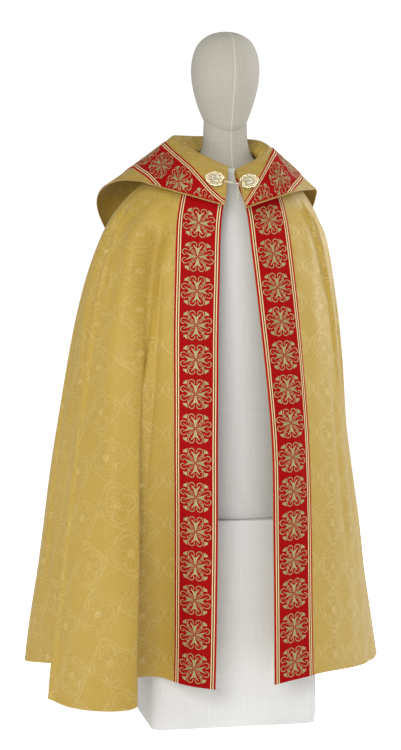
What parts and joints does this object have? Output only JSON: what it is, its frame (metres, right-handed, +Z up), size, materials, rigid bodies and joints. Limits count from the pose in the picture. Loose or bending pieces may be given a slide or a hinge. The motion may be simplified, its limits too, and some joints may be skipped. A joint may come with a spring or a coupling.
{
  "type": "cope vestment on a display form",
  "caption": "Floor-length ceremonial cloak with a real hood, embroidered front bands and a chained clasp, worn open on a limbless display form.",
  "frame": {"origin": "centre of the column's foot on the floor", "axes": "+Z up, the form faces -Y, +X to the wearer's left"},
  "size_m": [0.9436, 0.8573, 1.744],
  "materials": {
    "form_linen": "matt unbleached linen cover",
    "column_cloth": "matt white cloth cover",
    "gold_damask": "figured gold damask with a soft sheen",
    "red_orphrey": "red ground with gold embroidery",
    "clasp_metal": "pale silver-gilt filigree"
  },
  "bodies": {
    "root": {"form_bust": "form_linen", "form_column": "column_cloth", "front_right": "gold_damask", "front_left": "gold_damask", "back": "gold_damask", "hood_lining": "gold_damask", "hood_fall": "gold_damask", "orphrey_front_right": "red_orphrey", "orphrey_front_left": "red_orphrey", "orphrey_hood": "red_orphrey", "clasp_plate_right": "clasp_metal", "clasp_plate_left": "clasp_metal", "clasp_hook": "clasp_metal", "chain_link_1": "clasp_metal", "chain_link_2": "clasp_metal", "chain_link_3": "clasp_metal", "chain_link_4": "clasp_metal"},
    "tail_top": {"tail_link_1": "clasp_metal"},
    "tail_end": {"tail_link_2": "clasp_metal", "tail_link_3": "clasp_metal", "tail_link_4": "clasp_metal", "tail_link_5": "clasp_metal", "tail_link_6": "clasp_metal"}
  },
  "joints": [
    {"name": "tail_swing", "type": "hinge", "parent": "root", "child": "tail_top", "pos_m": [-0.00091, -0.15595, 1.35801], "axis": [0.9838, -0.1793, 0], "range_deg": [-45, 15]},
    {"name": "tail_side_swing", "type": "hinge", "parent": "tail_top", "child": "tail_end", "pos_m": [-0.00091, -0.15595, 1.35211], "axis": [0.1793, 0.9838, 0], "range_deg": [-6, 30]}
  ]
}
